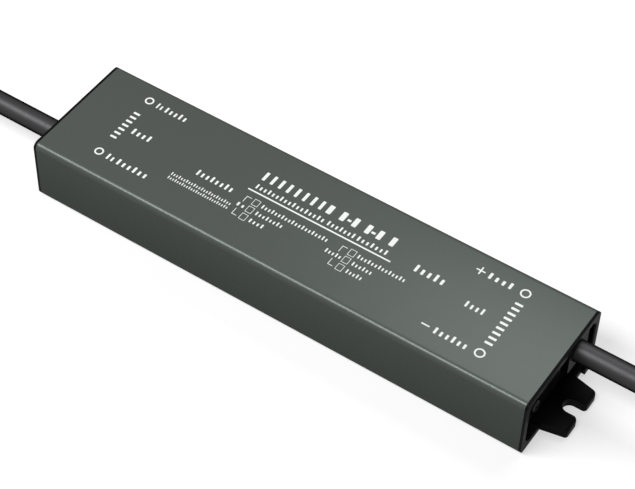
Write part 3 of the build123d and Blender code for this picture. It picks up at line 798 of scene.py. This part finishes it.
@dataclass
class Tube:
    """A round piece swept along a route, with a UV map that runs round it and along it."""

    route: Sequence[Point]
    radius: float
    sides: int = 24
    step: float = 0.8
    least_steps: int = 4

    def path(self) -> list[Vector]:
        """The route as a smooth curve of its corners' middles, sampled at even steps.

        Returns:
            The points, in metres.
        """
        corners = [Vector(point) * MM for point in self.route]
        if len(corners) == 2:
            return corners
        middles = [(a + b) / 2 for a, b in zip(corners, corners[1:])]
        stops = [corners[0], *middles[1:-1], corners[-1]]
        points = [corners[0]]
        for start, corner, stop in zip(stops, corners[1:-1], stops[1:]):
            count = max(self.least_steps, round((stop - start).length / (self.step * MM)))
            for index in range(1, count + 1):
                share = index / count
                near = start.lerp(corner, share)
                far = corner.lerp(stop, share)
                points.append(near.lerp(far, share))
        return points

    def add_to(self, shape: bmesh.types.BMesh, points: Sequence[Vector]) -> None:
        """Sweeps a ring along the points and closes both ends.

        Args:
            shape: The bmesh that the tube is added to.
            points: The centreline, in metres.
        """
        uv = shape.loops.layers.uv.verify()
        tangent = (points[1] - points[0]).normalized()
        turn = tangent.to_track_quat("Z", "Y").to_matrix()
        place = Matrix.Translation(points[0]) @ turn.to_4x4()
        size = self.radius * MM
        ring = bmesh.ops.create_circle(shape, cap_ends=False, segments=self.sides, radius=size, matrix=place)["verts"]
        first = ring[:]
        run = 0.0
        for index in range(1, len(points)):
            ahead = points[min(index + 1, len(points) - 1)] - points[index - 1]
            bend = tangent.rotation_difference(ahead.normalized()).to_matrix()
            tangent = ahead.normalized()
            edges = list({edge for vert in ring for edge in vert.link_edges if edge.other_vert(vert) in ring})
            grown = bmesh.ops.extrude_edge_only(shape, edges=edges)["geom"]
            fresh = [part for part in grown if isinstance(part, bmesh.types.BMVert)]
            follow = {tuple(vert.co): vert for vert in fresh}
            upper = [follow[tuple(vert.co)] for vert in ring]
            for face in (part for part in grown if isinstance(part, bmesh.types.BMFace)):
                self.unwrap(face, uv, ring, upper, run, run + (points[index] - points[index - 1]).length)
            for vert in upper:
                vert.co = bend @ (vert.co - points[index - 1]) + points[index]
            run += (points[index] - points[index - 1]).length
            ring = upper
        for loop in (first, ring):
            rim = {edge for vert in loop for edge in vert.link_edges if edge.other_vert(vert) in loop}
            bmesh.ops.contextual_create(shape, geom=list(rim))

    def unwrap(
        self,
        face: bmesh.types.BMFace,
        uv: bmesh.types.BMLayerItem,
        lower: Sequence[bmesh.types.BMVert],
        upper: Sequence[bmesh.types.BMVert],
        start: float,
        stop: float,
    ) -> None:
        """Gives a side face its place round the tube and along it.

        Args:
            face: The face.
            uv: The UV layer.
            lower: The ring that the face starts at.
            upper: The ring that it ends at.
            start: The distance along the tube of the lower ring, in metres.
            stop: The distance along the tube of the upper ring, in metres.
        """
        turns = []
        for loop in face.loops:
            ring, run = (lower, start) if loop.vert in lower else (upper, stop)
            turns.append([loop, ring.index(loop.vert) / self.sides, run])
        if max(turn for _, turn, _ in turns) - min(turn for _, turn, _ in turns) > 0.5:
            for entry in turns:
                entry[1] += 1 if entry[1] < 0.5 else 0
        for loop, turn, run in turns:
            loop[uv].uv = (turn, run)


@dataclass
class Lead:
    """A jacketed lead with its stripped cores and their bare strands."""

    end: End
    route: tuple[Point, ...]
    length: float
    cores: dict[str, tuple[tuple[Point, ...], Finish]]
    core_radius: float
    exit: Point
    radius: float = 3.4
    core_edge: float = 0.1
    bare_length: float = 6.5
    bundle_radius: float = 0.6
    strand_radius: float = 0.2
    strand_pitch: float = 9.0
    strand_sides: int = 10
    strand_steps: int = 12
    outer_strands: int = 6

    def jacket(self) -> bpy.types.Object:
        """Makes the jacket as a curve with round section, which stands for its solid.

        Returns:
            The jacket.
        """
        curve = bpy.data.curves.new(f"{self.end.label}_lead_jacket", "CURVE")
        curve.dimensions = "3D"
        curve.bevel_depth = self.radius * MM
        curve.bevel_resolution = 10
        curve.resolution_u = 16
        curve.use_fill_caps = True
        spline = curve.splines.new("NURBS")
        spline.points.add(len(self.route) - 1)
        for point, place in zip(spline.points, self.route):
            point.co = (*(Vector(place) * MM), 1.0)
        spline.order_u = 3
        spline.use_endpoint_u = True
        spline.use_smooth = True
        piece = bpy.data.objects.new(f"{self.end.label}_lead_jacket", curve)
        bpy.context.scene.collection.objects.link(piece)
        stand_for(f"{self.end.label}_cord", JACKET)
        return ride_root(piece, JACKET)

    def core(self, colour: str) -> bpy.types.Object:
        """Makes one insulated core beyond the end of the jacket.

        Args:
            colour: The core's colour, as its node names it.

        Returns:
            The core.
        """
        route, finish = self.cores[colour]
        shape = bmesh.new()
        tube = Tube(route, self.core_radius)
        tube.add_to(shape, tube.path())
        bmesh.ops.recalc_face_normals(shape, faces=shape.faces)
        piece = mesh_piece(shape, f"{self.end.label}_stripped_{colour}")
        soften(piece, self.core_edge, segments=2)
        stand_for(f"{self.end.label}_core_{colour}", finish.plain())
        return ride_root(piece, finish)

    def strands(self) -> bpy.types.Object:
        """Makes the twisted strands at the ends of all the cores.

        Returns:
            The strands, as one piece.
        """
        shape = bmesh.new()
        lay = self.bundle_radius - self.strand_radius
        for route, _ in self.cores.values():
            last = Vector(route[-1])
            along = (last - Vector(route[-2])).normalized()
            turn = along.to_track_quat("Z", "Y").to_matrix()
            for strand in range(self.outer_strands + 1):
                reach = lay if strand else 0.0
                points = []
                for index in range(self.strand_steps + 1):
                    run = self.bare_length * index / self.strand_steps
                    angle = math.tau * (strand / self.outer_strands + run / self.strand_pitch)
                    offset = turn @ Vector((math.cos(angle), math.sin(angle), 0)) * reach
                    points.append((last + along * run + offset) * MM)
                Tube((), self.strand_radius, sides=self.strand_sides).add_to(shape, points)
        bmesh.ops.recalc_face_normals(shape, faces=shape.faces)
        piece = mesh_piece(shape, f"{self.end.label}_bare_strands")
        stand_for(f"{self.end.label}_bare_ends", TINNED)
        return ride_root(piece, TINNED)

    def build(self) -> None:
        jacket = self.jacket()
        others = [self.core(colour) for colour in self.cores]
        others.append(self.strands())


@dataclass
class Circuit:
    """The potted circuit inside the case, with the finish of each of its solids."""

    finishes: dict[str, Finish] = field(
        default_factory=lambda: {
            "output_cord_tie": NYLON,
            "input_cord_tie": NYLON,
            "output_wire_red": CORE_RED,
            "output_wire_black": CORE_BLACK,
            "input_wire_brown": CORE_BROWN,
            "input_wire_blue": CORE_BLUE,
            "input_wire_earth": CORE_EARTH.plain(),
            "output_board_bracket": ZINC,
            "input_board_bracket": ZINC,
            "board_rivets": RIVET_BRASS,
            "circuit_board": BOARD_MASK,
            "insulating_film": FILM,
            "fuse": EPOXY,
            "x_capacitor": YELLOW_BOX,
            "varistor": BLUE_DIP,
            "thermistor": GREEN_DIP,
            "y_capacitor": BLUE_DIP,
            "choke_core": FERRITE,
            "choke_winding_front": COPPER_WIRE,
            "choke_winding_back": COPPER_WIRE,
            "choke_base": EPOXY,
            "bridge_rectifier": EPOXY,
            "bulk_capacitor_front": CAN,
            "bulk_capacitor_back": CAN,
            "transformer_core_left": FERRITE,
            "transformer_core_right": FERRITE,
            "transformer_bobbin": EPOXY,
            "transformer_winding": TAPE,
            "transformer_pads": GAP_PAD,
            "switching_transistor": EPOXY,
            "switching_transistor_pad": GAP_PAD,
            "output_rectifier": EPOXY,
            "output_rectifier_pad": GAP_PAD,
            "control_chip": EPOXY,
            "optocoupler": EPOXY,
            "snubber_resistor": EPOXY,
            "chip_resistors": CHIP,
            "output_capacitor_front": CAN,
            "output_capacitor_middle": CAN,
            "output_capacitor_back": CAN,
            "inductor_core": FERRITE,
            "inductor_winding": COPPER_WIRE,
            "potting_compound": SILICONE,
        }
    )

    def build(self) -> None:
        """Gives each inner solid its finish."""
        for node, finish in self.finishes.items():
            dress(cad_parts[node], finish)
            log.info("%s: %s", node, finish.name)


@dataclass(frozen=True)
class SoftBox:
    """A soft rectangular lamp that faces a point."""

    name: str
    place: Point
    aim: Point
    size: tuple[float, float]
    watts: float

    def build(self) -> None:
        """Makes the lamp."""
        lamp = bpy.data.lights.new(self.name, "AREA")
        lamp.shape = "RECTANGLE"
        lamp.size, lamp.size_y = self.size
        lamp.energy = self.watts
        piece = bpy.data.objects.new(self.name, lamp)
        piece.location = self.place
        back = (Vector(self.place) - Vector(self.aim)).normalized()
        across = (Vector((1, 0, 0)) - back * back.x).normalized()
        piece.rotation_euler = Matrix((across, back.cross(across), back)).transposed().to_euler()
        bpy.context.scene.collection.objects.link(piece)


@dataclass
class Studio:
    """A plain pale floor, a white surround and soft lamps."""

    floor_half: float = 6.0
    floor_level: float = -0.0002
    floor_colour: Colour = tone(180, 180, 180)
    floor_glow: float = 0.58
    floor_roughness: float = 0.9
    bounce_colour: Colour = tone(100, 100, 100)
    surround_strength: float = 0.07
    lamps: tuple[SoftBox, ...] = (
        SoftBox("key_box", (-0.32, -0.43, 0.78), (0.0, 0.0, 0.0), (0.8, 0.28), 9.5),
        SoftBox("back_box", (0.04, 0.29, 0.50), (0.06, 0.0, 0.0), (0.36, 0.22), 1.0),
    )

    def floor(self) -> None:
        """Makes the floor, which the camera sees as white apart from the driver's shadow."""
        shape = bmesh.new()
        place = Matrix.Translation((0, 0, self.floor_level))
        bmesh.ops.create_grid(shape, x_segments=1, y_segments=1, size=self.floor_half, matrix=place)
        piece = mesh_piece(shape, "studio_floor")
        sheet = NodeSheet("pale_floor")
        sheet.shader.inputs["Roughness"].default_value = self.floor_roughness
        sheet.shader.inputs["Specular IOR Level"].default_value = 0.0
        path = sheet.add("ShaderNodeLightPath").outputs
        shown = path["Is Camera Ray"]
        for kind in ("Is Glossy Ray", "Is Transmission Ray"):
            shown = sheet.add("ShaderNodeMath", {0: shown, 1: path[kind]}, operation="MAXIMUM").outputs[0]
        colour = sheet.blend(shown, (*self.bounce_colour, 1.0), (*self.floor_colour, 1.0))
        sheet.feed(sheet.shader.inputs["Base Color"], colour)
        glow = sheet.add("ShaderNodeMath", {0: shown, 1: self.floor_glow}, operation="MULTIPLY")
        sheet.shader.inputs["Emission Color"].default_value = (1, 1, 1, 1)
        sheet.feed(sheet.shader.inputs["Emission Strength"], glow.outputs[0])
        piece.data.materials.append(sheet.material)

    def surround(self) -> None:
        """Makes the world: dim for the driver's surfaces, white for the camera and for reflections."""
        world = bpy.data.worlds.new("studio_surround")
        world.use_nodes = True
        bpy.context.scene.world = world
        nodes, links = world.node_tree.nodes, world.node_tree.links
        dim = nodes["Background"]
        dim.inputs["Color"].default_value = (1, 1, 1, 1)
        dim.inputs["Strength"].default_value = self.surround_strength
        white = nodes.new("ShaderNodeBackground")
        white.inputs["Color"].default_value = (1, 1, 1, 1)
        white.inputs["Strength"].default_value = 1.0
        path = nodes.new("ShaderNodeLightPath")
        seen = path.outputs["Is Camera Ray"]
        for kind in ("Is Glossy Ray", "Is Transmission Ray"):
            either = nodes.new("ShaderNodeMath")
            either.operation = "MAXIMUM"
            links.new(seen, either.inputs[0])
            links.new(path.outputs[kind], either.inputs[1])
            seen = either.outputs[0]
        mix = nodes.new("ShaderNodeMixShader")
        links.new(seen, mix.inputs[0])
        links.new(dim.outputs[0], mix.inputs[1])
        links.new(white.outputs[0], mix.inputs[2])
        links.new(mix.outputs[0], nodes["World Output"].inputs["Surface"])

    def build(self) -> None:
        """Makes the whole studio."""
        self.floor()
        self.surround()
        for lamp in self.lamps:
            lamp.build()
        bpy.context.scene.view_settings.view_transform = "Standard"


@dataclass(frozen=True)
class PhotoCamera:
    """The camera at the photograph's viewing angle."""

    place: Point = (206.41, -316.25, 450.78)
    turn: Point = (40.778, -1.079, 33.958)
    focal_pixels: float = 1999.1
    image_width: float = 635.0
    sensor: float = 36.0
    nearest: float = 0.01
    farthest: float = 50.0

    def build(self) -> None:
        """Makes the camera and looks through it."""
        lens = bpy.data.cameras.new("photo_camera")
        lens.sensor_width = self.sensor
        lens.lens = self.focal_pixels / self.image_width * self.sensor
        lens.clip_start = self.nearest
        lens.clip_end = self.farthest
        piece = bpy.data.objects.new("photo_camera", lens)
        piece.location = Vector(self.place) * MM
        piece.rotation_euler = Euler([math.radians(angle) for angle in self.turn], "XYZ")
        bpy.context.scene.collection.objects.link(piece)
        bpy.context.scene.camera = piece


OUTPUT_LEAD = Lead(
    End.OUTPUT,
    route=(
        (69.5, 8.5, 16.2),
        (90.0, 8.5, 16.2),
        (122.0, 8.5, 16.2),
        (175.0, -3.0, 3.5),
        (208.0, -3.0, 3.5),
    ),
    length=140.4,
    cores={
        "red": (((208.0, -1.5, 3.5), (212.5, -1.5, 3.5), (219.5, 0.6, 1.8), (226.5, 4.6, 1.4)), CORE_RED),
        "black": (((208.0, -4.5, 3.5), (212.0, -4.5, 3.5), (219.0, -5.6, 1.7), (226.0, -8.4, 1.35)), CORE_BLACK),
    },
    core_radius=1.25,
    exit=(84.3, 8.5, 16.2),
)
INPUT_LEAD = Lead(
    End.INPUT,
    route=(
        (-69.5, -8.5, 16.2),
        (-94.0, -8.5, 16.2),
        (-125.5, -8.5, 16.2),
        (-180.0, 1.5, 3.5),
        (-208.0, 1.5, 3.5),
    ),
    length=140.2,
    cores={
        "brown": (((-208.0, 0.2, 2.9), (-212.0, 0.2, 2.9), (-219.0, -1.4, 1.5), (-226.5, -4.6, 1.25)), CORE_BROWN),
        "blue": (((-208.0, 2.8, 2.9), (-212.5, 2.8, 2.9), (-219.0, 5.2, 1.4), (-225.5, 8.8, 1.25)), CORE_BLUE),
        "earth": (((-208.0, 1.5, 4.8), (-213.0, 1.5, 4.8), (-220.0, 1.8, 1.9), (-227.0, 2.4, 1.3)), CORE_EARTH),
    },
    core_radius=1.1,
    exit=(-84.3, -8.5, 16.2),
)


def main() -> None:
    """Builds every sub-assembly in order."""
    CaseShell().build()
    TopPrint().build()
    for end in End:
        EndCap(end).build()
    for lead in (OUTPUT_LEAD, INPUT_LEAD):
        lead.build()
    Circuit().build()
    Studio().build()
    PhotoCamera().build()


if __name__ == "__main__":
    main()
